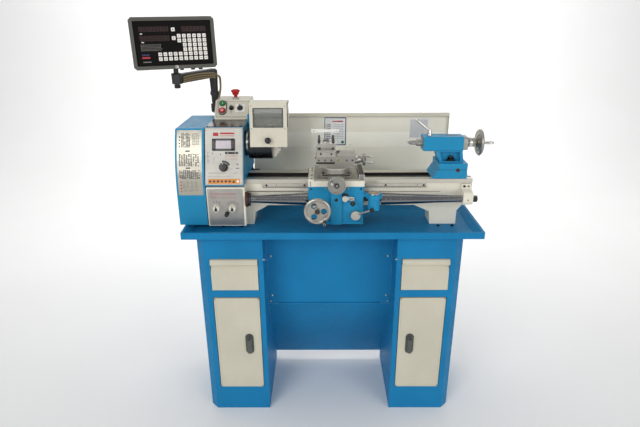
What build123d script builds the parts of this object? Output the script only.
from build123d import *
import math
import os

# A 280 mm swing bench lathe bolted to a drip tray on two steel cabinets.
# Millimetres. X runs from headstock to tailstock, -Y faces the operator and Z is up. The origin is
# on the floor, midway between the cabinets and straight below the spindle axis.

os.makedirs("parts", exist_ok=True)

# ---- driving dimensions -------------------------------------------------------------------------
CENTRE_HEIGHT = 140  # spindle axis above the bed ways
WAY_TOP = 1116  # bed ways above the floor
AXIS_Z = WAY_TOP + CENTRE_HEIGHT
STAND_HEIGHT = 900
TRAY_FLOOR = 904
TRAY_RIM = 928.5
SHEET = 2
RUN = 0.05  # radial clearance of a shaft in its bore
SLIP = 0.1  # gap between sliding faces

CABINET_INNER, CABINET_OUTER = 284, 566
CABINET_FRONT, CABINET_BACK = -169, 231
CABINET_CHAMFER = 32
TRAY_X, TRAY_Y = (-614, 634), (-204, 250)
BED_X = (-512, 600)
BED_HALF = 62
HEAD_X = (-513.5, -354)
HEAD_BACK, HEAD_TOP = 228, 1331
COVER_X = (-635, -515)
FRAME_PLANE_Y = {"panel": (-124, 1109), "console": (120, 1331.2)}
PANEL_RISE = (78, 222)  # back and up along the control panel
CONSOLE_RISE = (70, 72.8)  # back and up along the electrical box front
SCREW_Y, SCREW_Z = -98, 1038.5  # leadscrew axis
CARRIAGE_X = (-90, 142)
CROSS_X, CROSS_Z = 26.5, 1122  # cross feed screw axis
SWIVEL = (26, -25)  # compound swivel axis
SLIDE_SCREW_Z = 1190
POST_CENTRE = (-15.5, -25)
TAIL_X = (391, 556)  # tailstock barrel
GEAR_MODULE = 2
SPINDLE_TEETH, CHANGE_TEETH = 42, 90
CHANGE_GEAR_Y = 90
MOTOR_Y, MOTOR_Z = 165, 1040
COVER_HINGE = (-514, 247)
GUARD_HINGE = (95, 1345)
DRO_POST = (-522, 256)
DRO_CENTRE = (-603, -41, 1659)
DRO_ACROSS = (0.944, 0.329, 0.009)
DRO_FACING = (0.329, -0.944, 0.024)


# ---- helpers ------------------------------------------------------------------------------------
def front(y):
    """A sketch plane facing the operator at depth y: its axes are X and Z."""
    return Plane.XZ.offset(-y)


def side(x):
    """A sketch plane facing the tailstock at x: its axes are Y and Z."""
    return Plane.YZ.offset(x)


def sloped(corner, rise, x=0):
    """A plane leaning back from a lower edge (y, z): its axes are X and up the slope."""
    length = math.hypot(*rise)
    return Plane(origin=(x, *corner), x_dir=(1, 0, 0), z_dir=(0, -rise[1] / length, rise[0] / length))


PANEL = sloped(FRAME_PLANE_Y["panel"], PANEL_RISE)
CONSOLE = sloped(FRAME_PLANE_Y["console"], CONSOLE_RISE)
DRO = Plane(origin=DRO_CENTRE, x_dir=DRO_ACROSS, z_dir=DRO_FACING)


def save(part, name):
    part.label = name
    export_step(part, f"parts/{name}.step")


def gear_outline(teeth, module, turn=0.0):
    """Corner points of a spur gear with straight flanks and a little backlash."""
    pitch_r = module * teeth / 2
    rings = [
        (pitch_r - 1.15 * module, -0.30),
        (pitch_r + 0.90 * module, -0.13),
        (pitch_r + 0.90 * module, 0.13),
        (pitch_r - 1.15 * module, 0.30),
    ]
    points = []
    for tooth in range(teeth):
        for radius, share in rings:
            angle = turn + 2 * math.pi * (tooth + share) / teeth
            points.append((radius * math.cos(angle), radius * math.sin(angle)))
    return points


def rod(radius, length, plane, mode=Mode.ADD):
    """A plain round bar that starts at a plane and runs along its normal."""
    with Locations(plane.location):
        Cylinder(radius, length, align=(Align.CENTER, Align.CENTER, Align.MIN), mode=mode)


def drill(radius, length, plane):
    """A round hole that starts at a plane and runs along its normal."""
    rod(radius, length, plane, Mode.SUBTRACT)


def spot(plane, x, y):
    """A plane moved to (x, y) of its own axes."""
    return Plane(origin=plane.from_local_coords(Vector(x, y, 0)), x_dir=plane.x_dir, z_dir=plane.z_dir)


# ---- cabinets -----------------------------------------------------------------------------------
OPENING_X = (306, 511.5)
DRAWER_OPENING_Z = (642.5, 794.5)
DOOR_OPENING_Z = (125.5, 608)
DOOR_PIN = (500, -163)  # door pin axis, on the outer edge
FLOOR_BOLTS = (425, 120)  # bolt holes in each cabinet's floor, from the middle of the machine


def cabinet(hand):
    """A folded sheet cabinet; hand is -1 for the left one and +1 for the right."""
    with BuildPart() as shell:
        with BuildSketch() as plan:
            with BuildLine():
                Polyline(
                    (hand * CABINET_INNER, CABINET_FRONT),
                    (hand * (CABINET_OUTER - CABINET_CHAMFER), CABINET_FRONT),
                    (hand * CABINET_OUTER, CABINET_FRONT + CABINET_CHAMFER),
                    (hand * CABINET_OUTER, CABINET_BACK),
                    (hand * CABINET_INNER, CABINET_BACK),
                    close=True,
                )
            make_face()
        extrude(amount=STAND_HEIGHT)
        with BuildSketch(Plane.XY.offset(SHEET)):
            add(offset(plan.sketch, amount=-SHEET, mode=Mode.PRIVATE))
        extrude(amount=STAND_HEIGHT - 2 * SHEET, mode=Mode.SUBTRACT)
        middle_x = hand * sum(OPENING_X) / 2
        for low, high in (DRAWER_OPENING_Z, DOOR_OPENING_Z):
            with BuildSketch(front(CABINET_FRONT + SHEET)):
                with Locations((middle_x, (low + high) / 2)):
                    Rectangle(OPENING_X[1] - OPENING_X[0], high - low)
            extrude(amount=2 * SHEET, mode=Mode.SUBTRACT)
        # a shelf parts the drawer from the cupboard, and two rails carry the drawer
        with BuildSketch(Plane.XY.offset(622)):
            add(offset(plan.sketch, amount=-SHEET / 2, mode=Mode.PRIVATE))
        extrude(amount=SHEET)
        for rail_x in (CABINET_INNER + 18, CABINET_OUTER - 48):
            with BuildSketch(Plane.XY.offset(624)):
                with Locations((hand * rail_x, 30)):
                    Rectangle(14, 360)
            extrude(amount=23)
        # lugs behind the door opening hold the door pins
        for low in (DOOR_OPENING_Z[0] - 8, DOOR_OPENING_Z[1]):
            with BuildSketch(Plane.XY.offset(low)):
                with Locations((hand * DOOR_PIN[0], DOOR_PIN[1] + 4)):
                    Rectangle(18, 16.5)
            extrude(amount=8)
            drill(3 + RUN, 8, Plane.XY.offset(low).shift_origin((hand * DOOR_PIN[0], DOOR_PIN[1], low)))
        for bolt_y in (-FLOOR_BOLTS[1], FLOOR_BOLTS[1]):
            drill(7, 2 * SHEET, Plane(origin=(hand * FLOOR_BOLTS[0], bolt_y, -SHEET / 2)))
    return shell.part


save(cabinet(-1), "cabinet_left")
save(cabinet(1), "cabinet_right")


# ---- drawers ------------------------------------------------------------------------------------
DRAWER_X = (308.5, 510)
DRAWER_Z = (645, 792)
DRAWER_FACE = -172


def drawer(hand):
    """A drawer with a scooped pull across the top of its front."""
    middle_x = hand * sum(DRAWER_X) / 2
    width = DRAWER_X[1] - DRAWER_X[0]
    with BuildPart() as box:
        with BuildSketch(side(middle_x)):
            with BuildLine():
                lip = Polyline(
                    (DRAWER_FACE, DRAWER_Z[0]),
                    (DRAWER_FACE, 729),
                    (DRAWER_FACE + 12, 760),
                    (DRAWER_FACE + 12, 764),
                    (DRAWER_FACE - 3, 765),
                )
                crown = ThreePointArc(lip @ 1, (DRAWER_FACE - 6, 778), (DRAWER_FACE - 1, 790))
                Polyline(
                    crown @ 1,
                    (DRAWER_FACE + 4, DRAWER_Z[1]),
                    (DRAWER_FACE + 18, DRAWER_Z[1]),
                    (DRAWER_FACE + 18, DRAWER_Z[0]),
                    (DRAWER_FACE, DRAWER_Z[0]),
                )
            make_face()
        extrude(amount=width / 2, both=True)
        tray_plane = Plane.XY.offset(648)
        with BuildSketch(tray_plane):
            with Locations((middle_x, DRAWER_FACE + 18 + 165)):
                Rectangle(width - 14, 330)
        extrude(amount=110)
        with BuildSketch(tray_plane.offset(2)):
            with Locations((middle_x, DRAWER_FACE + 18 + 165)):
                Rectangle(width - 18, 326)
        extrude(amount=110, mode=Mode.SUBTRACT)
    return box.part


save(drawer(-1), "drawer_left")
save(drawer(1), "drawer_right")


# ---- doors and their latches --------------------------------------------------------------------
DOOR_X = (308.5, 508)
DOOR_Z = (128.5, 605)
DOOR_FACE = -171
DOOR_DEPTH = 18
LATCH_X, LATCH_PIVOT_Z = 362, 402


def door(hand):
    """A pan-shaped door with a pin at its outer top and bottom corners."""
    middle_x = hand * sum(DOOR_X) / 2
    with BuildPart() as leaf:
        with BuildSketch(front(DOOR_FACE + DOOR_DEPTH)):
            with Locations((middle_x, sum(DOOR_Z) / 2)):
                Rectangle(DOOR_X[1] - DOOR_X[0], DOOR_Z[1] - DOOR_Z[0])
        extrude(amount=DOOR_DEPTH)
        with BuildSketch(front(DOOR_FACE + DOOR_DEPTH)):
            with Locations((middle_x - hand * 4, sum(DOOR_Z) / 2)):
                Rectangle(DOOR_X[1] - DOOR_X[0] - 28, DOOR_Z[1] - DOOR_Z[0] - 20)
        extrude(amount=DOOR_DEPTH - SHEET, mode=Mode.SUBTRACT)
        for end, way in ((DOOR_Z[1], 1), (DOOR_Z[0], -1)):
            pin_plane = Plane(origin=(hand * DOOR_PIN[0], DOOR_PIN[1], end), z_dir=(0, 0, way))
            rod(3, 9, pin_plane)
        drill(6 + RUN, 10, front(DOOR_FACE + 5).shift_origin((hand * LATCH_X, DOOR_FACE + 5, LATCH_PIVOT_Z)))
    return leaf.part


def latch(hand):
    """A paddle latch with a key barrel at its pivot and a cam behind the door."""
    x = hand * LATCH_X
    with BuildPart() as paddle:
        with BuildSketch(front(DOOR_FACE - SLIP)):
            with Locations((x, LATCH_PIVOT_Z - 34)):
                SlotOverall(101, 33, rotation=90)
        extrude(amount=5)
        with BuildSketch(front(DOOR_FACE - 5)):
            with Locations((x, LATCH_PIVOT_Z - 36)):
                SlotOverall(92, 25, rotation=90)
        extrude(amount=9, taper=12)
        rod(9, 12, front(DOOR_FACE - 5).shift_origin((x, DOOR_FACE - 5, LATCH_PIVOT_Z)))
        rod(6, 26, Plane(origin=(x, DOOR_FACE - 1, LATCH_PIVOT_Z), z_dir=(0, 1, 0)))
        with BuildSketch(front(DOOR_FACE + 24)):
            with Locations((x, LATCH_PIVOT_Z - 26)):
                Rectangle(18, 72)
        extrude(amount=3)
    return paddle.part


for hand, word in ((-1, "left"), (1, "right")):
    save(door(hand), f"door_{word}")
    save(latch(hand), f"door_latch_{word}")


# ---- kneehole panels ----------------------------------------------------------------------------
KNEE_Y, FOLD_Z = -35, 495
KNEE_HALF = CABINET_INNER - 0.5
with BuildPart() as kneehole:
    with BuildSketch(front(KNEE_Y + SHEET)):
        with Locations((0, (FOLD_Z + STAND_HEIGHT) / 2)):
            Rectangle(2 * KNEE_HALF, STAND_HEIGHT - FOLD_Z - 1)
    extrude(amount=SHEET)
    # a short hem stiffens the lower edge
    with BuildSketch(front(KNEE_Y)):
        with Locations((0, FOLD_Z + 3)):
            Rectangle(480, 4)
    extrude(amount=5)
    with BuildSketch(side(0)):
        with BuildLine():
            Polyline(
                (KNEE_Y, FOLD_Z - 1), (KNEE_Y + SHEET, FOLD_Z - 1), (217, 50), (215, 50), close=True
            )
        make_face()
    extrude(amount=KNEE_HALF, both=True)
save(kneehole.part, "kneehole_panels")


# ---- drip tray ----------------------------------------------------------------------------------
TRAY_SIZE = (TRAY_X[1] - TRAY_X[0], TRAY_Y[1] - TRAY_Y[0])
TRAY_MIDDLE = (sum(TRAY_X) / 2, sum(TRAY_Y) / 2)
with BuildPart() as tray:
    with BuildSketch(Plane.XY.offset(STAND_HEIGHT + 0.1)):
        with Locations(TRAY_MIDDLE):
            RectangleRounded(*TRAY_SIZE, 4)
    extrude(amount=TRAY_RIM - STAND_HEIGHT - 0.1)
    with BuildSketch(Plane.XY.offset(TRAY_FLOOR)):
        with Locations(TRAY_MIDDLE):
            Rectangle(TRAY_SIZE[0] - 64, TRAY_SIZE[1] - 64)
    with BuildSketch(Plane.XY.offset(TRAY_RIM)):
        with Locations(TRAY_MIDDLE):
            Rectangle(TRAY_SIZE[0] - 22, TRAY_SIZE[1] - 22)
    loft(mode=Mode.SUBTRACT)
save(tray.part, "chip_tray")


# ---- bed, with its raised feet ------------------------------------------------------------------
with BuildPart() as bed:
    with BuildSketch(side(BED_X[0])):
        with Locations((0, (998 + 1104) / 2)):
            Rectangle(2 * BED_HALF, 106)
        for low, high in ((-68, -21), (30, 68)):
            with Locations(((low + high) / 2, (1098 + WAY_TOP) / 2)):
                Rectangle(high - low, WAY_TOP - 1098)
    extrude(amount=BED_X[1] - BED_X[0])
    bevelled = bed.edges().filter_by(Axis.X).filter_by_position(Axis.Z, WAY_TOP - 0.1, WAY_TOP + 0.1)
    chamfer(bevelled, 1.5)
    # the trough between the ways, left open to the tray between cross ribs
    bay = 160
    for index in range(6):
        start = BED_X[0] + 60 + index * (bay + 16)
        with BuildSketch(Plane.XY.offset(998)):
            with Locations((start + bay / 2, 0)):
                RectangleRounded(bay, 84, 12)
        extrude(amount=1098 - 998, mode=Mode.SUBTRACT)
    # the long recessed panel along the front face
    with BuildSketch(front(-BED_HALF + 2)):
        with Locations(((-319 + 527) / 2, (1012 + 1057) / 2)):
            RectangleRounded(527 + 319, 45, 8)
    extrude(amount=4, mode=Mode.SUBTRACT)
    with BuildSketch(front(46)):
        with BuildLine():
            Polyline(
                (BED_X[0], TRAY_FLOOR), (-330, TRAY_FLOOR), (-322, 961), (-263, 993), (-263, 1000),
                (BED_X[0], 1000), close=True,
            )
        make_face()
        with BuildLine():
            Polyline(
                (437, TRAY_FLOOR), (550, TRAY_FLOOR), (550, 966), (568, 989), (568, 1000), (352, 1000),
                (360, 994), (431, 962), close=True,
            )
        make_face()
    extrude(amount=92)
save(bed.part, "bed")


# ---- rack ---------------------------------------------------------------------------------------
RACK_X, RACK_Z = (-285, 407), (1081, 1097.9)
RACK_PITCH = math.pi * GEAR_MODULE
with BuildPart() as rack:
    with BuildSketch(front(-BED_HALF)):
        with Locations((sum(RACK_X) / 2, sum(RACK_Z) / 2 + 2)):
            Rectangle(RACK_X[1] - RACK_X[0], RACK_Z[1] - RACK_Z[0] - 4)
    extrude(amount=9.5)
    tooth_count = int((RACK_X[1] - RACK_X[0]) / RACK_PITCH)
    with BuildSketch(front(-BED_HALF)):
        with Locations((sum(RACK_X) / 2, RACK_Z[0] + 2.1)):
            with GridLocations(RACK_PITCH, 1, tooth_count, 1):
                Trapezoid(RACK_PITCH * 0.68, 4.2, 70, rotation=180)
    extrude(amount=9.5)
save(rack.part, "rack")


# ---- headstock ----------------------------------------------------------------------------------
WALL = 12
BEARING_R = 42
CHANGE_GEAR_Z = AXIS_Z - math.sqrt(
    (GEAR_MODULE * (SPINDLE_TEETH + CHANGE_TEETH) / 2) ** 2 - CHANGE_GEAR_Y**2
)
with BuildPart() as headstock:
    with BuildSketch(side(HEAD_X[0])):
        with BuildLine():
            Polyline(
                (-120.2, 1104), (-40.5, HEAD_TOP), (HEAD_BACK, HEAD_TOP), (HEAD_BACK, 1104), (69, 1104),
                (69, WAY_TOP + 0.02), (-69, WAY_TOP + 0.02), (-69, 1104), close=True,
            )
        make_face()
    extrude(amount=HEAD_X[1] - HEAD_X[0])
    with BuildSketch(side(HEAD_X[0] + WALL)):
        with BuildLine():
            Polyline(
                (-93, 1130), (-33, HEAD_TOP - 8), (HEAD_BACK - 8, HEAD_TOP - 8), (HEAD_BACK - 8, 1112),
                (77, 1112), (77, 1130), close=True,
            )
        make_face()
    extrude(amount=HEAD_X[1] - HEAD_X[0] - 2 * WALL, mode=Mode.SUBTRACT)
    drill(BEARING_R, 200, side(HEAD_X[0]).shift_origin((HEAD_X[0], 0, AXIS_Z)))
    drill(10 + RUN, WALL, side(HEAD_X[0]).shift_origin((HEAD_X[0], CHANGE_GEAR_Y, CHANGE_GEAR_Z)))
    # lugs and pins that the belt and gear cover swings on
    for low in (1120, 1290):
        with BuildSketch(Plane.XY.offset(low)):
            with BuildLine():
                Polyline(
                    (-513, HEAD_BACK - 3), (-506.5, HEAD_BACK - 3), (-506.5, 248), (-510, 252),
                    (-513, 252), close=True,
                )
            make_face()
            with Locations(COVER_HINGE):
                Circle(5.5)
        extrude(amount=6)
        rod(3, 16, Plane(origin=(*COVER_HINGE, low + 6)))
    # bracket for the chuck guard's pivot rod
    with BuildSketch(side(HEAD_X[1])):
        with BuildLine():
            Polyline((75, 1290), (115, 1290), (110, 1345), (80, 1345), close=True)
        make_face()
        with Locations(GUARD_HINGE):
            Circle(15)
    extrude(amount=12)
    rod(5, 170, side(HEAD_X[1] + 12).shift_origin((HEAD_X[1] + 12, *GUARD_HINGE)))
save(headstock.part, "headstock")


# ---- spindle bearings ---------------------------------------------------------------------------
SPINDLE_R, SPINDLE_BORE = 25, 13
with BuildPart() as bearings:
    for start in (HEAD_X[0], HEAD_X[1] - WALL):
        plane = side(start).shift_origin((start, 0, AXIS_Z))
        with BuildSketch(plane):
            Circle(BEARING_R - 0.02)
            Circle(SPINDLE_R + RUN, mode=Mode.SUBTRACT)
        extrude(amount=WALL)
save(bearings.part, "spindle_bearings")


# ---- spindle with its gear and belt pulley ------------------------------------------------------
GEAR_X, GEAR_WIDTH = -543, 14
BELT_X, BELT_WIDTH = -592, 20
SPINDLE_PULLEY_R, MOTOR_PULLEY_R = 52, 30
axle = side(0).shift_origin((0, 0, AXIS_Z))
with BuildPart() as spindle:
    with BuildSketch(front(0)):
        with BuildLine():
            Polyline(
                (-612, AXIS_Z), (-612, AXIS_Z + SPINDLE_R), (HEAD_X[1] + 0.5, AXIS_Z + SPINDLE_R),
                (HEAD_X[1] + 0.5, AXIS_Z + 46), (-338, AXIS_Z + 46), (-338, AXIS_Z + 27.5),
                (-324, AXIS_Z + 27.5), (-324, AXIS_Z), close=True,
            )
        make_face()
    revolve(axis=Axis((0, 0, AXIS_Z), (1, 0, 0)))
    with BuildSketch(axle.offset(GEAR_X)):
        Polygon(*gear_outline(SPINDLE_TEETH, GEAR_MODULE), align=None)
    extrude(amount=GEAR_WIDTH)
    rod(SPINDLE_PULLEY_R, BELT_WIDTH, axle.offset(BELT_X))
    for rim_x in (BELT_X - 3, BELT_X + BELT_WIDTH):
        rod(SPINDLE_PULLEY_R + 6, 3, axle.offset(rim_x))
    drill(SPINDLE_BORE, 400, axle.offset(-650))
save(spindle.part, "spindle")


# ---- change gear: takes the feed from the spindle -----------------------------------------------
mesh_angle = math.atan2(CHANGE_GEAR_Z - AXIS_Z, CHANGE_GEAR_Y)
# a gap of this gear has to face the tooth of the spindle gear nearest the line of centres
spindle_phase = (mesh_angle * SPINDLE_TEETH / (2 * math.pi)) % 1
gear_turn = mesh_angle + math.pi + (0.5 + spindle_phase) * 2 * math.pi / CHANGE_TEETH
with BuildPart() as change_gear:
    hub = side(0).shift_origin((0, CHANGE_GEAR_Y, CHANGE_GEAR_Z))
    with BuildSketch(hub.offset(GEAR_X)):
        Polygon(*gear_outline(CHANGE_TEETH, GEAR_MODULE, gear_turn), align=None)
    extrude(amount=GEAR_WIDTH)
    for face_x, amount in ((GEAR_X, 4), (GEAR_X + GEAR_WIDTH, -4)):
        with BuildSketch(hub.offset(face_x)):
            Circle(76)
            Circle(24, mode=Mode.SUBTRACT)
        extrude(amount=amount, mode=Mode.SUBTRACT)
    rod(10, 72, hub.offset(-555))
    rod(17, 8, hub.offset(-551))
save(change_gear.part, "change_gear")


# ---- motor, its pulley and the belt -------------------------------------------------------------
shaft = side(0).shift_origin((0, MOTOR_Y, MOTOR_Z))
with BuildPart() as motor:
    rod(52, 170, shaft.offset(-495))
    fins = PolarLocations(52, 24)
    with BuildSketch(shaft.offset(-480)):
        with fins:
            Rectangle(6, 3)
    extrude(amount=130)
    with BuildSketch(front(MOTOR_Y + 40)):
        with Locations((-410, MOTOR_Z + 50)):
            Rectangle(110, 27.9)
    extrude(amount=80)
    drill(9 + RUN, 60, shaft.offset(-495))
save(motor.part, "motor")

with BuildPart() as motor_pulley:
    rod(9, 150, shaft.offset(-596))
    rod(MOTOR_PULLEY_R, BELT_WIDTH, shaft.offset(BELT_X))
    for rim_x in (BELT_X - 3, BELT_X + BELT_WIDTH):
        rod(MOTOR_PULLEY_R + 6, 3, shaft.offset(rim_x))
save(motor_pulley.part, "motor_pulley")

with BuildPart() as belt:
    for gap, mode in ((3.3, Mode.ADD), (0.2, Mode.SUBTRACT)):
        with BuildSketch(side(BELT_X + 1)):
            with Locations((0, AXIS_Z)):
                Circle(SPINDLE_PULLEY_R + gap)
            with Locations((MOTOR_Y, MOTOR_Z)):
                Circle(MOTOR_PULLEY_R + gap)
            make_hull()
        extrude(amount=BELT_WIDTH - 2, mode=mode)
save(belt.part, "drive_belt")


# ---- end cover over the belt and gears ----------------------------------------------------------
COVER_WALL = 3
COVER_PIN_R = 3


def cover_outline(inset):
    """The cover's side profile, drawn in by inset all round."""
    with BuildSketch() as outline:
        with BuildLine():
            nose = Spline(
                (-121 + inset, 932 + inset),
                (-119 + inset, 1064),
                (-109 + inset, 1157),
                (-81 + inset, 1251 - inset / 3),
                (-46 + inset / 2, 1328 - inset),
            )
            Polyline(nose @ 1, (241 - inset, 1328 - inset), (241 - inset, 932 + inset), nose @ 0)
        make_face()
    return outline.sketch


with BuildPart() as end_cover:
    with BuildSketch(side(COVER_X[0])):
        add(cover_outline(0))
    extrude(amount=COVER_X[1] - COVER_X[0])
    fillet(end_cover.faces().sort_by(Axis.X)[0].edges(), 6)
    with BuildSketch(side(COVER_X[0] + COVER_WALL)):
        add(cover_outline(COVER_WALL))
    extrude(amount=COVER_X[1] - COVER_X[0], mode=Mode.SUBTRACT)
    for low in (1126.2, 1296.2):
        barrel = Plane(origin=(*COVER_HINGE, low))
        rod(6, 18, barrel)
        with BuildSketch(Plane.XY.offset(low)):
            with Locations((COVER_HINGE[0] - 8, 243)):
                Rectangle(14, 6)
        extrude(amount=18)
        drill(COVER_PIN_R + RUN, 18, barrel)
    # opening for bar stock, in line with the spindle
    drill(20, 20, side(COVER_X[0] - 5).shift_origin((COVER_X[0] - 5, 0, AXIS_Z)))
save(end_cover.part, "end_cover")


# ---- control panel with its speed display -------------------------------------------------------
PANEL_SIZE = (HEAD_X[1] - HEAD_X[0] - 3.5, math.hypot(*PANEL_RISE))
PANEL_MIDDLE_X = sum(HEAD_X) / 2
SPEED_KNOB = (-437, 73)
with BuildPart() as control_panel:
    with BuildSketch(PANEL.offset(-5)):
        with Locations((PANEL_MIDDLE_X, PANEL_SIZE[1] / 2)):
            RectangleRounded(*PANEL_SIZE, 3)
    extrude(amount=5)
    fillet(control_panel.faces().sort_by(Axis.Y)[0].edges(), 1.2)
    drill(4 + RUN, 10, spot(PANEL.offset(-8), *SPEED_KNOB))
    # raised bezel around the display window
    with BuildSketch(PANEL):
        with Locations((-435.5, 165.5)):
            RectangleRounded(90, 48, 3)
            RectangleRounded(62, 34, 1, mode=Mode.SUBTRACT)
    extrude(amount=4)
    with BuildSketch(PANEL):
        with Locations((-435.5, 165.5)):
            Rectangle(64, 36)
    extrude(amount=1)
save(control_panel.part, "control_panel")

with BuildPart() as speed_knob:
    rod(18, 2.5, spot(PANEL.offset(0.3), *SPEED_KNOB))
    with BuildSketch(spot(PANEL.offset(2.5), *SPEED_KNOB)):
        Circle(15.5)
    extrude(amount=17, taper=5)
    with BuildSketch(spot(PANEL.offset(15), *SPEED_KNOB)):
        with PolarLocations(15.2, 18):
            Circle(1.3)
    extrude(amount=-12, mode=Mode.SUBTRACT)
    rod(4, 5, spot(PANEL.offset(-4.5), *SPEED_KNOB))
save(speed_knob.part, "speed_knob")


# ---- feed gearbox -------------------------------------------------------------------------------
GEARBOX_X, GEARBOX_Z = (-512, -353), (927, 1097)
GEARBOX_FACE = -121
KNOBS = {"feed_range_knob": (-472, 1011), "feed_rate_knob": (-405, 1011)}
DIRECTION_KNOB = (-430.6, 984)
with BuildPart() as gearbox:
    with BuildSketch(front(-BED_HALF - 0.3)):
        with Locations((sum(GEARBOX_X) / 2, sum(GEARBOX_Z) / 2)):
            Rectangle(GEARBOX_X[1] - GEARBOX_X[0], GEARBOX_Z[1] - GEARBOX_Z[0])
    extrude(amount=-GEARBOX_FACE - BED_HALF - 3.3)
    fillet(gearbox.edges().filter_by(Axis.Y), 4)
    with BuildSketch(front(-70)):
        with Locations((sum(GEARBOX_X) / 2, sum(GEARBOX_Z) / 2)):
            Rectangle(GEARBOX_X[1] - GEARBOX_X[0] - 20, GEARBOX_Z[1] - GEARBOX_Z[0] - 20)
    extrude(amount=40, mode=Mode.SUBTRACT)
    drill(9 + RUN, 200, side(GEARBOX_X[0] + 20).shift_origin((GEARBOX_X[0] + 20, SCREW_Y, SCREW_Z)))
    with BuildSketch(front(GEARBOX_FACE + 3)):
        with Locations((-434, 1011)):
            RectangleRounded(143, 158, 2)
    extrude(amount=3)
    for knob_x, knob_z in (*KNOBS.values(), DIRECTION_KNOB):
        drill(4 + RUN, 20, front(-105).shift_origin((knob_x, -105, knob_z)))
save(gearbox.part, "feed_gearbox")

for name, (knob_x, knob_z) in KNOBS.items():
    with BuildPart() as knob:
        base = front(GEARBOX_FACE - 0.3).shift_origin((knob_x, GEARBOX_FACE - 0.3, knob_z))
        rod(15.5, 3, base)
        with BuildSketch(base.offset(3)):
            Circle(14.5)
        extrude(amount=20, taper=3)
        fillet(knob.faces().sort_by(Axis.Y)[0].edges(), 1.5)
        # a raised arrow shows the setting
        with BuildSketch(base.offset(22.5)):
            with BuildLine():
                Polyline((-6, -8), (6, -8), (0, 11), close=True)
            make_face()
        extrude(amount=1.5)
        rod(4, 14, front(GEARBOX_FACE + 12).shift_origin((knob_x, GEARBOX_FACE + 12, knob_z)))
    save(knob.part, name)

with BuildPart() as direction_knob:
    knob_x, knob_z = DIRECTION_KNOB
    start = front(GEARBOX_FACE + 12).shift_origin((knob_x, GEARBOX_FACE + 12, knob_z))
    rod(4, 30, start)
    rod(9, 6, start.offset(13))
    with Locations((knob_x, GEARBOX_FACE - 20, knob_z)):
        Sphere(8)
save(direction_knob.part, "feed_direction_knob")


# ---- electrical box -----------------------------------------------------------------------------
CONSOLE_TOP, CONSOLE_BACK = 1404, 320
BOX_X = (-506, -354)
START_STOP = (-472, 60)
BUTTON_GAP = 18  # each button's centre from the middle of the pair
SELECTOR = (-433, 59)
CAM_SWITCH = (-394.5, 57.5)
ESTOP = (-424, 240)
CAP_R = 13


def box_outline(inset):
    """The box's side profile: a leaning console in front and a deep case behind the headstock."""
    with BuildSketch() as outline:
        with BuildLine():
            Polyline(
                (120 + 2 * inset, 1331.2 + inset),
                (190 + inset / 2, CONSOLE_TOP - inset),
                (CONSOLE_BACK - inset, CONSOLE_TOP - inset),
                (CONSOLE_BACK - inset, 1150 + inset),
                (HEAD_BACK + 1 + inset, 1150 + inset),
                (HEAD_BACK + 1 + inset, 1331.2 + inset),
                close=True,
            )
        make_face()
    return outline.sketch


with BuildPart() as electrical_box:
    with BuildSketch(side(BOX_X[0])):
        add(box_outline(0))
    extrude(amount=BOX_X[1] - BOX_X[0])
    with BuildSketch(side(BOX_X[0] + SHEET)):
        add(box_outline(SHEET))
    extrude(amount=BOX_X[1] - BOX_X[0] - 2 * SHEET, mode=Mode.SUBTRACT)
    # front plate, the oval button housing and the square switch plate
    with BuildSketch(CONSOLE):
        with Locations((-427.5, 54)):
            RectangleRounded(141, 80, 2)
    extrude(amount=1.5)
    with BuildSketch(CONSOLE.offset(1.5)):
        with Locations(START_STOP):
            SlotOverall(72, 34, rotation=90)
    extrude(amount=8, taper=8)
    with BuildSketch(CONSOLE.offset(1.5)):
        with Locations(CAM_SWITCH):
            RectangleRounded(40, 40, 2)
    extrude(amount=2)
    for step in (-BUTTON_GAP, BUTTON_GAP):
        drill(CAP_R + RUN, 30, spot(CONSOLE.offset(-8), START_STOP[0], START_STOP[1] + step))
    for place in (SELECTOR, CAM_SWITCH):
        drill(4 + RUN, 30, spot(CONSOLE.offset(-8), *place))
    drill(8 + RUN, 20, Plane(origin=(*ESTOP, CONSOLE_TOP - 10)))
    # collar under the emergency stop
    with BuildSketch(Plane(origin=(*ESTOP, CONSOLE_TOP))):
        Circle(14)
        Circle(8 + RUN, mode=Mode.SUBTRACT)
    extrude(amount=8)
    # side bracket that carries the readout's post
    with BuildSketch(Plane.XY.offset(1340)):
        with BuildLine():
            Polyline(
                (BOX_X[0], DRO_POST[1] - 22), (DRO_POST[0], DRO_POST[1] - 18),
                (DRO_POST[0], DRO_POST[1] + 18), (BOX_X[0], DRO_POST[1] + 22), close=True,
            )
        make_face()
        with Locations(DRO_POST):
            Circle(18)
    extrude(amount=40)
    drill(12 + RUN, 60, Plane(origin=(*DRO_POST, 1344)))
save(electrical_box.part, "electrical_box")


def push_button(step, name):
    with BuildPart() as button:
        place = (START_STOP[0], START_STOP[1] + step)
        rod(CAP_R, 13, spot(CONSOLE.offset(0.5), *place))
        fillet(button.faces().sort_by(Axis(CONSOLE.origin, CONSOLE.z_dir))[-1].edges(), 1.5)
    save(button.part, name)


push_button(BUTTON_GAP, "start_button")
push_button(-BUTTON_GAP, "stop_button")

with BuildPart() as selector_knob:
    rod(9, 3, spot(CONSOLE.offset(1.8), *SELECTOR))
    with BuildSketch(spot(CONSOLE.offset(4.8), *SELECTOR)):
        Circle(7.5)
    extrude(amount=12, taper=6)
    rod(4, 6, spot(CONSOLE.offset(-2), *SELECTOR))
save(selector_knob.part, "selector_knob")

with BuildPart() as cam_switch_knob:
    rod(11, 3, spot(CONSOLE.offset(3.8), *CAM_SWITCH))
    with BuildSketch(spot(CONSOLE.offset(6.8), *CAM_SWITCH)):
        SlotOverall(24, 9, rotation=90)
    extrude(amount=12, taper=6)
    rod(4, 8, spot(CONSOLE.offset(-2), *CAM_SWITCH))
save(cam_switch_knob.part, "cam_switch_knob")

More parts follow.
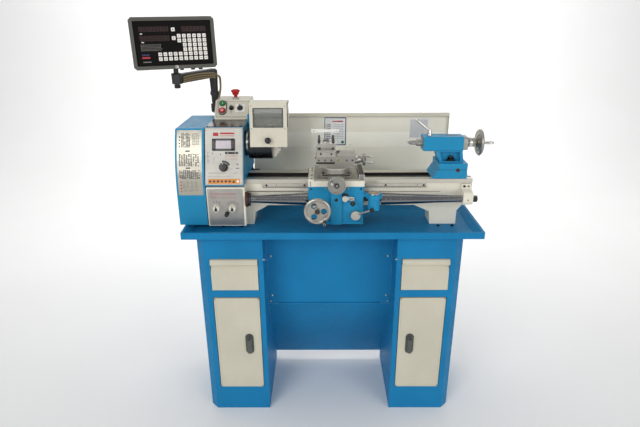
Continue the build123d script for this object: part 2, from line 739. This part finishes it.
with BuildPart() as emergency_stop:
    with BuildSketch(front(ESTOP[1])):
        with BuildLine():
            stem = Polyline(
                (0, CONSOLE_TOP - 8), (8, CONSOLE_TOP - 8), (8, 1419), (14.5, 1423), (16, 1432), (21, 1437)
            )
            dome = Polyline(stem @ 1, (19.5, 1441), (15, 1444.5), (8, 1446.5), (0, 1447))
            Line(dome @ 1, stem @ 0)
        make_face()
    revolve(axis=Axis((0, ESTOP[1], 0), (0, 0, 1)))
save(emergency_stop.part.moved(Location((ESTOP[0], 0, 0))), "emergency_stop")


# ---- leadscrew, its end bracket and the telescopic covers ---------------------------------------
SCREW_R = 9
BRACKET_X = (554, 595)
screw_line = side(0).shift_origin((0, SCREW_Y, SCREW_Z))
with BuildPart() as leadscrew:
    rod(SCREW_R, 1083, screw_line.offset(-484))
    rod(32, 9, screw_line.offset(-352.4))
    rod(28, 11, screw_line.offset(-343.4))
    with BuildSketch(screw_line.offset(BRACKET_X[1] + 1)):
        RegularPolygon(14, 6)
    extrude(amount=20)
save(leadscrew.part, "leadscrew")

with BuildPart() as bracket:
    with BuildSketch(side(BRACKET_X[0])):
        with BuildLine():
            Polyline(
                (-BED_HALF - 0.2, 1095), (-72, 1095), (-74, 1074), (-112, 1070), (-119, 1062),
                (-119, 1030), (-112, 1018), (-80, 1014), (-BED_HALF - 0.2, 1010), close=True,
            )
        make_face()
    extrude(amount=BRACKET_X[1] - BRACKET_X[0])
    fillet(bracket.edges().filter_by(Axis.X).sort_by(Axis.Y)[:2], 3)
    drill(SCREW_R + RUN, 60, screw_line.offset(BRACKET_X[0]))
    for bolt_x in (565, 584):
        drill(3.5, 20, front(-60).shift_origin((bolt_x, -60, 1085)))
save(bracket.part, "leadscrew_bracket")

COVER_STEPS = 7


def telescope(start_x, end_x, start_r, end_r):
    """Nested tube sections that step up in radius from start to end."""
    step_x = (end_x - start_x) / COVER_STEPS
    step_r = (end_r - start_r) / (COVER_STEPS - 1)
    with BuildPart() as tube:
        for index in range(COVER_STEPS):
            radius = start_r + index * step_r
            low = min(start_x + index * step_x, start_x + (index + 1) * step_x)
            rod(radius, abs(step_x), screw_line.offset(low))
        drill(min(start_r, end_r) - 1.5, abs(end_x - start_x), screw_line.offset(min(start_x, end_x)))
    return tube.part


with BuildPart() as covers:
    add(telescope(-331, CARRIAGE_X[0] - 1, 15, 26))
    add(telescope(553, 213, 13.5, 25))
save(covers.part, "leadscrew_covers")


# ---- saddle -------------------------------------------------------------------------------------
SADDLE_TOP = 1124
DOVETAIL_TOP = 1137
NUT_SLOT = (-58, 72)
cross_line = front(0).shift_origin((CROSS_X, 0, CROSS_Z))
with BuildPart() as saddle:
    with BuildSketch(Plane.XY.offset(WAY_TOP + RUN)):
        with Locations((sum(CARRIAGE_X) / 2, -21)):
            Rectangle(CARRIAGE_X[1] - CARRIAGE_X[0], 200)
    extrude(amount=SADDLE_TOP - WAY_TOP - RUN)
    with BuildSketch(Plane.XY.offset(1100)):
        with Locations((sum(CARRIAGE_X) / 2, -95.3)):
            Rectangle(CARRIAGE_X[1] - CARRIAGE_X[0], 51.4)
    extrude(amount=SADDLE_TOP - 1100)
    with BuildSketch(Plane.XY.offset(SADDLE_TOP)):
        with Locations((CROSS_X, -6)):
            Rectangle(184, 212)
    extrude(amount=6)
    fillet(saddle.edges().filter_by(Axis.Z), 2)
    with BuildSketch(front(100)):
        with BuildLine():
            Polyline(
                (CROSS_X - 30, 1130), (CROSS_X - 37, DOVETAIL_TOP), (CROSS_X + 37, DOVETAIL_TOP),
                (CROSS_X + 30, 1130), close=True,
            )
        make_face()
    extrude(amount=212)
    rod(20, 27, cross_line.offset(121))
    with BuildSketch(Plane.XY.offset(1100)):
        with Locations((CROSS_X, sum(NUT_SLOT) / 2)):
            Rectangle(24, NUT_SLOT[1] - NUT_SLOT[0])
    extrude(amount=60, mode=Mode.SUBTRACT)
    drill(4.5 + RUN, 260, cross_line.offset(-100))
    # housing of the measuring scale beside the cross slide
    with BuildSketch(Plane.XY.offset(SADDLE_TOP + 0.5)):
        with Locations((131, -20)):
            RectangleRounded(22, 160, 4)
    extrude(amount=20)
save(saddle.part, "saddle")


# ---- apron with the thread dial's housing -------------------------------------------------------
APRON_FACE, APRON_BACK, APRON_FOOT = -121, -74, 936
WHEEL_SHAFT = (-52, 1019)
HALF_NUT_SHAFT = (62, 1054)
FEED_SHAFT = (107, 979)
DIAL_CENTRE = (182, -130)
with BuildPart() as apron:
    with BuildSketch(front(APRON_BACK)):
        with BuildLine():
            Polyline(
                (CARRIAGE_X[0], 1099.9), (CARRIAGE_X[0], 978), (-78, 950), (-15, APRON_FOOT),
                (140, APRON_FOOT), (140, 1099.9), close=True,
            )
        make_face()
    extrude(amount=APRON_BACK - APRON_FACE)
    fillet(apron.edges().filter_by(Axis.Z).sort_by(Axis.Y)[:2], 4)
    with BuildSketch(front(APRON_BACK)):
        with Locations((26, 1020)):
            RectangleRounded(200, 130, 12)
    extrude(amount=34, mode=Mode.SUBTRACT)
    # raised rib below the cross feed screw, and the lip along the foot
    with BuildSketch(front(APRON_FACE)):
        with Locations((26, (APRON_FOOT + 1099.9) / 2)):
            RectangleRounded(46, 1099.9 - APRON_FOOT, 4)
    extrude(amount=11)
    with BuildSketch(front(APRON_FACE)):
        with Locations((62, APRON_FOOT + 5)):
            Rectangle(154, 10)
    extrude(amount=5)
    # the thread dial's housing
    with BuildSketch(Plane.XY.offset(1054)):
        with Locations(DIAL_CENTRE):
            RegularPolygon(34, 6)
    extrude(amount=20)
    fillet(apron.edges().filter_by(Axis.Z).sort_by(Axis.X)[-4:], 6)
    with BuildSketch(Plane.XY.offset(1006)):
        with Locations(DIAL_CENTRE):
            Circle(25)
    extrude(amount=50)
    with BuildSketch(Plane.XY.offset(1056)):
        with Locations((153, -112)):
            Rectangle(32, 22)
    extrude(amount=14)
    drill(12, 300, screw_line.offset(-95))
    drill(4 + RUN, 70, Plane(origin=(*DIAL_CENTRE, 1010)))
    for radius, (hole_x, hole_z) in ((6, WHEEL_SHAFT), (8, HALF_NUT_SHAFT), (6, FEED_SHAFT)):
        drill(radius + RUN, 30, front(-105).shift_origin((hole_x, -105, hole_z)))
save(apron.part, "apron")

with BuildPart() as thread_dial:
    dial_plane = Plane(origin=(*DIAL_CENTRE, 1074.3))
    rod(21, 4, dial_plane)
    rod(4, 62, Plane(origin=(*DIAL_CENTRE, 1013)))
save(thread_dial.part, "thread_dial")


# ---- handwheels ---------------------------------------------------------------------------------
def hand_grip(radius, length):
    """A turned grip that stands on z = 0, waisted at its root."""
    with BuildPart() as grip:
        with BuildSketch(Plane.XZ):
            with BuildLine():
                Line((0, 0), (radius * 0.6, 0))
                belly = ThreePointArc((radius * 0.6, 0), (radius, length * 0.6), (radius * 0.8, length))
                Polyline(belly @ 1, (0, length), (0, 0))
            make_face()
        revolve(axis=Axis.Z)
    return grip.part


def handwheel(rim_r, rim_thick, hub_r, depth):
    """A dished handwheel: hub back at z = 0, and the rim's middle at z = depth."""
    ring_r = rim_r - rim_thick
    with BuildPart() as wheel:
        with BuildSketch(Plane.XZ):
            with BuildLine():
                Polyline(
                    (0, 0), (hub_r, 0), (hub_r, 5), (ring_r, depth - 3), (ring_r, depth + 3),
                    (hub_r, depth), (hub_r, depth + 5), (0, depth + 5), close=True,
                )
            make_face()
            with Locations((ring_r, depth)):
                Ellipse(rim_thick, rim_thick * 0.85)
        revolve(axis=Axis.Z)
        reach = (ring_r - rim_thick + hub_r) / 2
        with PolarLocations(reach, 3):
            Cylinder((ring_r - rim_thick - hub_r) / 2 - 1.5, 8 * depth, mode=Mode.SUBTRACT)
    return wheel.part


with BuildPart() as apron_handwheel:
    wheel_plane = front(-172).shift_origin((WHEEL_SHAFT[0], -172, WHEEL_SHAFT[1]))
    add(handwheel(56, 7.5, 13, 20).moved(wheel_plane.location))
    add(hand_grip(7, 42).moved(spot(wheel_plane.offset(26), 28, -39).location))
    rod(6, 66, wheel_plane.offset(-62))
    rod(19, 16, wheel_plane.offset(-50))
save(apron_handwheel.part, "apron_handwheel")

with BuildPart() as cross_handwheel:
    rod(4.5, 245, cross_line.offset(-75))
    rod(30, 16, cross_line.offset(149))
    rod(24, 4, cross_line.offset(164))
    with BuildSketch(cross_line.offset(168)):
        Circle(36.5)
    extrude(amount=9, taper=8)
    with BuildSketch(cross_line.offset(174)):
        Circle(31)
        Circle(12, mode=Mode.SUBTRACT)
    extrude(amount=3, mode=Mode.SUBTRACT)
    rod(8, 8, cross_line.offset(172))
    add(hand_grip(5.5, 30).moved(spot(cross_line.offset(173.5), -20, 14).location))
save(cross_handwheel.part, "cross_handwheel")


# ---- apron levers -------------------------------------------------------------------------------
with BuildPart() as half_nut_lever:
    hub = front(APRON_FACE + 12).shift_origin((HALF_NUT_SHAFT[0], APRON_FACE + 12, HALF_NUT_SHAFT[1]))
    rod(8, 20, hub)
    rod(12.5, 22, hub.offset(12.3))
    arm = Plane(origin=hub.from_local_coords(Vector(0, 0, 24)), z_dir=(1, 0, -0.12))
    rod(10, 38, arm)
    tip = arm.from_local_coords(Vector(0, 0, 30))
    rod(4, 26, Plane(origin=tip, z_dir=(0, -1, -0.25)))
    with Locations(tip + Vector(0, -34, -8)):
        Sphere(10)
save(half_nut_lever.part, "half_nut_lever")

with BuildPart() as feed_lever:
    hub = front(APRON_FACE + 12).shift_origin((FEED_SHAFT[0], APRON_FACE + 12, FEED_SHAFT[1]))
    rod(6, 20, hub)
    rod(20, 20, hub.offset(12.3))
    arm = Plane(origin=hub.from_local_coords(Vector(0, 0, 22)), z_dir=(0.8, -0.42, 0.43))
    rod(4.5, 78, arm)
    with Locations(arm.from_local_coords(Vector(0, 0, 80))):
        Sphere(7)
save(feed_lever.part, "feed_lever")


# ---- cross slide --------------------------------------------------------------------------------
CROSS_TOP = 1142
with BuildPart() as cross_slide:
    with BuildSketch(Plane.XY.offset(1130 + SLIP)):
        with Locations((CROSS_X, 2)):
            Rectangle(128, 166)
    extrude(amount=CROSS_TOP - 1130 - SLIP)
    with BuildSketch(front(100)):
        with BuildLine():
            Polyline(
                (CROSS_X - 30.2, 1129.9), (CROSS_X - 37.3, DOVETAIL_TOP + SLIP),
                (CROSS_X + 37.3, DOVETAIL_TOP + SLIP), (CROSS_X + 30.2, 1129.9), close=True,
            )
        make_face()
    extrude(amount=220, mode=Mode.SUBTRACT)
    with BuildSketch(Plane.XY.offset(CROSS_Z - 4)):
        with Locations((CROSS_X, 0)):
            Rectangle(18, 24)
    extrude(amount=DOVETAIL_TOP + 1 - CROSS_Z + 4)
    drill(4.5 + RUN, 60, cross_line.offset(-30))
save(cross_slide.part, "cross_slide")


# ---- compound: swivel base, top slide and its crank ---------------------------------------------
BASE_TOP = 1180
slide_line = side(0).shift_origin((0, SWIVEL[1], SLIDE_SCREW_Z))
with BuildPart() as compound_base:
    with BuildSketch(Plane.XY.offset(CROSS_TOP + SLIP)):
        with Locations(SWIVEL):
            Circle(54.5)
    extrude(amount=21)
    with BuildSketch(Plane.XY.offset(1162)):
        with Locations((SWIVEL[0], SWIVEL[1])):
            Rectangle(148, 56)
    extrude(amount=BASE_TOP - 1162)
    with BuildSketch(side(-48)):
        with BuildLine():
            Polyline(
                (SWIVEL[1] - 15, BASE_TOP), (SWIVEL[1] - 20, BASE_TOP + 8), (SWIVEL[1] + 20, BASE_TOP + 8),
                (SWIVEL[1] + 15, BASE_TOP), close=True,
            )
        make_face()
    extrude(amount=148)
    with BuildSketch(side(-60)):
        with Locations((SWIVEL[1], BASE_TOP + 8)):
            Rectangle(12, 7)
    extrude(amount=200, mode=Mode.SUBTRACT)
    with BuildSketch(Plane.XY.offset(BASE_TOP + 2)):
        with Locations((20, SWIVEL[1])):
            Rectangle(20, 16)
    extrude(amount=16)
    drill(4 + RUN, 60, slide_line.offset(-10))
save(compound_base.part, "compound_base")

with BuildPart() as top_slide:
    with BuildSketch(side(-58)):
        with BuildLine():
            Polyline((-63, BASE_TOP + SLIP), (-63, 1211), (13, 1211), (13, BASE_TOP + SLIP), close=True)
        make_face()
    extrude(amount=162)
    with BuildSketch(side(27)):
        with BuildLine():
            Line((-63, 1210), (-63, 1217))
            ThreePointArc((-63, 1217), (SWIVEL[1], 1227), (13, 1217))
            Polyline((13, 1217), (13, 1210), (-63, 1210))
        make_face()
    extrude(amount=77)
    with BuildSketch(side(-59)):
        with BuildLine():
            Polyline(
                (SWIVEL[1] - 15.2, BASE_TOP), (SWIVEL[1] - 20.3, BASE_TOP + 8.1),
                (SWIVEL[1] + 20.3, BASE_TOP + 8.1), (SWIVEL[1] + 15.2, BASE_TOP), close=True,
            )
        make_face()
    extrude(amount=170, mode=Mode.SUBTRACT)
    with BuildSketch(Plane.XY.offset(BASE_TOP + 2)):
        with Locations((18, SWIVEL[1])):
            Rectangle(126, 20)
    extrude(amount=20, mode=Mode.SUBTRACT)
    drill(4 + RUN, 60, slide_line.offset(70))
    # round seat that lets the square tool post turn
    drill(57.5, 40, Plane(origin=(*POST_CENTRE, 1211)))
    rod(10, 14, Plane(origin=(*POST_CENTRE, 1205)))
save(top_slide.part, "top_slide")

with BuildPart() as top_slide_crank:
    rod(4, 145, slide_line.offset(-38))
    rod(17, 14, slide_line.offset(104.3))
    with BuildSketch(slide_line.offset(118.3)):
        Circle(17)
    extrude(amount=12, taper=18)
    rod(12, 12, slide_line.offset(129))
    rod(25, 9, slide_line.offset(140))
    for turn in (35, 215):
        place = (17 * math.cos(math.radians(turn)), 17 * math.sin(math.radians(turn)))
        add(hand_grip(4.5, 36).moved(spot(slide_line.offset(148), *place).location))
save(top_slide_crank.part, "top_slide_crank")


# ---- four-way tool post and its clear shield ----------------------------------------------------
POST_SIZE, POST_FOOT, POST_TOP = 79, 1211.1, 1266.5
with BuildPart() as tool_post:
    with BuildSketch(Plane.XY.offset(POST_FOOT)):
        with Locations(POST_CENTRE):
            Rectangle(POST_SIZE, POST_SIZE)
    extrude(amount=POST_TOP - POST_FOOT)
    fillet(tool_post.edges().filter_by(Axis.Z), 3)
    with BuildSketch(Plane.XY.offset(1239)):
        with Locations(POST_CENTRE):
            Rectangle(POST_SIZE + 2, POST_SIZE + 2)
            Rectangle(POST_SIZE - 36, POST_SIZE - 36, mode=Mode.SUBTRACT)
    extrude(amount=13, mode=Mode.SUBTRACT)
    drill(10 + RUN, 80, Plane(origin=(*POST_CENTRE, 1205)))
save(tool_post.part, "tool_post")

SHIELD_Y, SHIELD_FOOT, SHIELD_BEND = -86, 1229, 1322
with BuildPart() as shield:
    rod(5.5, 104, Plane(origin=(*POST_CENTRE, POST_TOP + SLIP)))
    rod(12, 8, Plane(origin=(*POST_CENTRE, POST_TOP + SLIP)))
    with BuildSketch(front(POST_CENTRE[1])):
        with Locations((POST_CENTRE[0], SHIELD_BEND + 4)):
            Rectangle(14, 8)
    extrude(amount=POST_CENTRE[1] - SHIELD_Y)
    with BuildSketch(side(-20)):
        with BuildLine():
            Polyline(
                (SHIELD_Y, SHIELD_FOOT), (SHIELD_Y, SHIELD_BEND), (SHIELD_Y + 16, 1384),
                (SHIELD_Y + 13, 1384), (SHIELD_Y - 3, SHIELD_BEND), (SHIELD_Y - 3, SHIELD_FOOT),
                close=True,
            )
        make_face()
    extrude(amount=54, both=True)
save(shield.part, "tool_post_shield")


# ---- tailstock ----------------------------------------------------------------------------------
QUILL_R = 15
tail_line = side(0).shift_origin((0, 0, AXIS_Z))
with BuildPart() as tailstock:
    with BuildSketch(tail_line.offset(TAIL_X[0])):
        RectangleRounded(76, 60, 9)
    extrude(amount=TAIL_X[1] - TAIL_X[0])
    with BuildSketch(tail_line.offset(TAIL_X[1])):
        RectangleRounded(66, 52, 7)
    extrude(amount=19)
    with BuildSketch(front(38)):
        with BuildLine():
            Polyline((444, 1229), (554, 1229), (562, 1178), (462, 1178), close=True)
        make_face()
    extrude(amount=76)
    # windows over the clamp nut, front and back
    for start in (-18, 39):
        with BuildSketch(front(start)):
            with BuildLine():
                Polyline((459, 1224), (543, 1224), (548, 1184), (473, 1184), close=True)
            make_face()
        extrude(amount=21, mode=Mode.SUBTRACT)
    with BuildSketch(front(64)):
        with BuildLine():
            Polyline(
                (430, WAY_TOP + RUN), (574, WAY_TOP + RUN), (574, 1180), (454, 1180), (455, 1156),
                (446, 1142), close=True,
            )
        make_face()
    extrude(amount=128)
    with BuildSketch(Plane.XY.offset(1154)):
        with Locations((512, 0)):
            Rectangle(130, 130)
            Rectangle(116, 126, mode=Mode.SUBTRACT)
    extrude(amount=1, mode=Mode.SUBTRACT)
    drill(QUILL_R + RUN, 150, tail_line.offset(TAIL_X[0]))
    drill(9 + RUN, 60, tail_line.offset(TAIL_X[0] + 140))
    drill(5 + RUN, 30, Plane(origin=(418, 0, AXIS_Z + QUILL_R + 2)))
save(tailstock.part, "tailstock_body")

with BuildPart() as quill:
    with BuildSketch(front(0)):
        with BuildLine():
            Polyline(
                (326, AXIS_Z), (340, AXIS_Z + 9), (365, AXIS_Z + 9.6), (365, AXIS_Z + QUILL_R - 1),
                (366, AXIS_Z + QUILL_R), (538, AXIS_Z + QUILL_R), (538, AXIS_Z), close=True,
            )
        make_face()
    revolve(axis=Axis((0, 0, AXIS_Z), (1, 0, 0)))
    drill(7 + RUN, 120, tail_line.offset(440))
save(quill.part, "tailstock_quill")

with BuildPart() as tailstock_handwheel:
    rod(7, 100, tail_line.offset(446))
    rod(9, 60, tail_line.offset(542))
    rod(15, 10, tail_line.offset(575.3))
    rod(19, 24, tail_line.offset(585))
    add(handwheel(56, 8.5, 15, 22).moved(tail_line.offset(609).location))
    add(hand_grip(6.5, 38).moved(spot(tail_line.offset(638), -45, 8).location))
save(tailstock_handwheel.part, "tailstock_handwheel")

with BuildPart() as quill_lock_lever:
    with BuildSketch(front(0)):
        with BuildLine():
            Polyline(
                (418, 1278), (423, 1278), (423, 1286.4), (429, 1286.4), (425, 1312), (418, 1316),
                close=True,
            )
        make_face()
    revolve(axis=Axis((418, 0, 0), (0, 0, 1)))
    arm = Plane(origin=(414, 0, 1308), z_dir=(-53, 0, 44))
    with BuildSketch(arm):
        Circle(4)
    extrude(amount=66, taper=-1.8)
save(quill_lock_lever.part, "quill_lock_lever")


# ---- chuck --------------------------------------------------------------------------------------
CHUCK_X, CHUCK_R = (-337.9, -240), 66
JAW_TURNS = (20, 140, 260)  # degrees round the spindle axis, from -Y towards +Z


def jaw_plane(turn):
    """A plane on the chuck's face whose X axis runs along the jaw, outwards."""
    angle = math.radians(turn)
    outward = (0, -math.cos(angle), math.sin(angle))
    return Plane(origin=(CHUCK_X[1], 0, AXIS_Z), x_dir=outward, z_dir=(1, 0, 0))


with BuildPart() as chuck:
    rod(CHUCK_R, CHUCK_X[1] - CHUCK_X[0], axle.offset(CHUCK_X[0]))
    chamfer(chuck.edges().filter_by(GeomType.CIRCLE), 2.5)
    drill(27.6, 14.1, axle.offset(CHUCK_X[0]))
    drill(16, 120, axle.offset(CHUCK_X[0]))
    # the seam between chuck body and back plate
    with BuildSketch(axle.offset(-312)):
        Circle(CHUCK_R + 1)
        Circle(CHUCK_R - 1.5, mode=Mode.SUBTRACT)
    extrude(amount=2.5, mode=Mode.SUBTRACT)
    for turn in JAW_TURNS:
        with BuildSketch(jaw_plane(turn).offset(-22)):
            with Locations((40, 0)):
                Rectangle(60, 14)
        extrude(amount=30, mode=Mode.SUBTRACT)
        key_hole = Plane(
            origin=jaw_plane(turn + 60).offset(-36).from_local_coords(Vector(CHUCK_R - 14, 0, 0)),
            x_dir=(1, 0, 0),
            z_dir=jaw_plane(turn + 60).x_dir,
        )
        with BuildSketch(key_hole):
            Rectangle(10, 10)
        extrude(amount=20, mode=Mode.SUBTRACT)
save(chuck.part, "chuck_body")

for number, turn in enumerate(JAW_TURNS, 1):
    with BuildPart() as jaw:
        with BuildSketch(Plane(origin=(CHUCK_X[1], 0, AXIS_Z), x_dir=jaw_plane(turn).x_dir,
                               z_dir=(1, 0, 0)).offset(-21.9)):
            with Locations((41, 0)):
                Rectangle(38, 13.8)
        extrude(amount=21.9 + 8)
        for low, high, height in ((22, 60, 16), (22, 47, 24), (22, 34, 32)):
            with BuildSketch(jaw_plane(turn).offset(4)):
                with Locations(((low + high) / 2, 0)):
                    Rectangle(high - low, 13.8)
            extrude(amount=height - 4)
    save(jaw.part, f"chuck_jaw_{number}")


# ---- hinged chuck guard -------------------------------------------------------------------------
GUARD_X = (-326, -174)
GUARD_SHEET = 2.5
hinge_line = side(0).shift_origin((0, *GUARD_HINGE))
with BuildPart() as guard:
    with BuildSketch(side(GUARD_X[0])):
        with BuildLine():
            Polyline(
                (-74, 1256), (-60, 1311), (-49, 1426), (-44, 1433), (50, 1428), (50, 1418),
                (50 - GUARD_SHEET, 1418), (50 - GUARD_SHEET, 1425.6), (-42, 1430.5),
                (-46.4, 1424), (-57.4, 1310.6), (-71.5, 1255.3), close=True,
            )
        make_face()
    extrude(amount=GUARD_X[1] - GUARD_X[0])
    for plate_x in (GUARD_X[0], GUARD_X[1] - GUARD_SHEET):
        with BuildSketch(side(plate_x)):
            with BuildLine():
                Polyline(
                    (-58, 1328), (-48, 1430), (50, 1427), (104, 1356), (104, 1340), (92, 1328), close=True
                )
            make_face()
        extrude(amount=GUARD_SHEET)
        rod(11, 14, hinge_line.offset(plate_x if plate_x == GUARD_X[0] else GUARD_X[1] - 14))
    drill(5 + RUN, 200, hinge_line.offset(GUARD_X[0] - 10))
    with BuildSketch(front(-30)):
        with Locations(((-311 - 191) / 2, (1334 + 1409) / 2)):
            RectangleRounded(120, 75, 5)
    extrude(amount=40, mode=Mode.SUBTRACT)
save(guard.part, "chuck_guard")


# ---- splash guard behind the bed ----------------------------------------------------------------
SPLASH_X = (-353, 551)
with BuildPart() as splash_guard:
    with BuildSketch(side(SPLASH_X[0])):
        with BuildLine():
            Polyline(
                (206, TRAY_FLOOR + 0.1), (236, 1178), (236, 1336), (225, 1336), (225, 1324),
                (223, 1324), (223, 1338), (238, 1338), (238, 1178), (208, TRAY_FLOOR + 0.1), close=True,
            )
        make_face()
    extrude(amount=SPLASH_X[1] - SPLASH_X[0])
save(splash_guard.part, "splash_guard")


# ---- readout arm and readout --------------------------------------------------------------------
DRO_WIDE, DRO_HIGH, DRO_DEEP = 312, 187, 48
DRO_TILT = (-60, -66)  # tilt axis on the readout's plane: up its face, and back from it
ARM_Z = 1517
tilt_pin = DRO.from_local_coords(Vector(0, *DRO_TILT))
tilt_line = Plane(origin=tilt_pin, z_dir=DRO.x_dir)
with BuildPart() as dro_arm:
    rod(12, 186, Plane(origin=(*DRO_POST, 1344.1)))
    rod(15, 144, Plane(origin=(*DRO_POST, 1385)))
    rod(19, 16, Plane(origin=(*DRO_POST, 1418)))
    elbow = Vector(tilt_pin.X, tilt_pin.Y, ARM_Z)
    reach = elbow - Vector(*DRO_POST, ARM_Z)
    beam_plane = Plane(origin=(*DRO_POST, ARM_Z), x_dir=reach.cross(Vector(0, 0, 1)), z_dir=reach)
    with BuildSketch(beam_plane):
        RectangleRounded(34, 38, 5)
    extrude(amount=reach.length)
    rod(20, 38, Plane(origin=(elbow.X, elbow.Y, ARM_Z - 19)))
    rod(10, tilt_pin.Z - ARM_Z, Plane(origin=elbow))
    rod(4, 80, tilt_line.offset(-40))
    rod(11, 44, tilt_line.offset(-22))
save(dro_arm.part, "dro_arm")

with BuildPart() as dro_display:
    with BuildSketch(DRO.offset(-DRO_DEEP)):
        Rectangle(DRO_WIDE, DRO_HIGH)
    extrude(amount=DRO_DEEP)
    chamfer(dro_display.edges().filter_by(Axis(DRO.origin, DRO.z_dir)), 10)
    with BuildSketch(DRO):
        RectangleRounded(DRO_WIDE - 22, DRO_HIGH - 22, 4)
    extrude(amount=-3, mode=Mode.SUBTRACT)
    for ear in (-36, 28):
        with BuildSketch(tilt_line.offset(ear)):
            Circle(11)
        extrude(amount=8)
        foot = DRO.from_local_coords(Vector(ear + 4, DRO_TILT[0], DRO_TILT[1]))
        with BuildSketch(Plane(origin=foot, x_dir=DRO.x_dir, z_dir=DRO.z_dir)):
            Rectangle(8, 22)
        extrude(amount=-DRO_TILT[1] - DRO_DEEP + 2)
    drill(4 + RUN, 90, tilt_line.offset(-45))
save(dro_display.part, "dro_display")
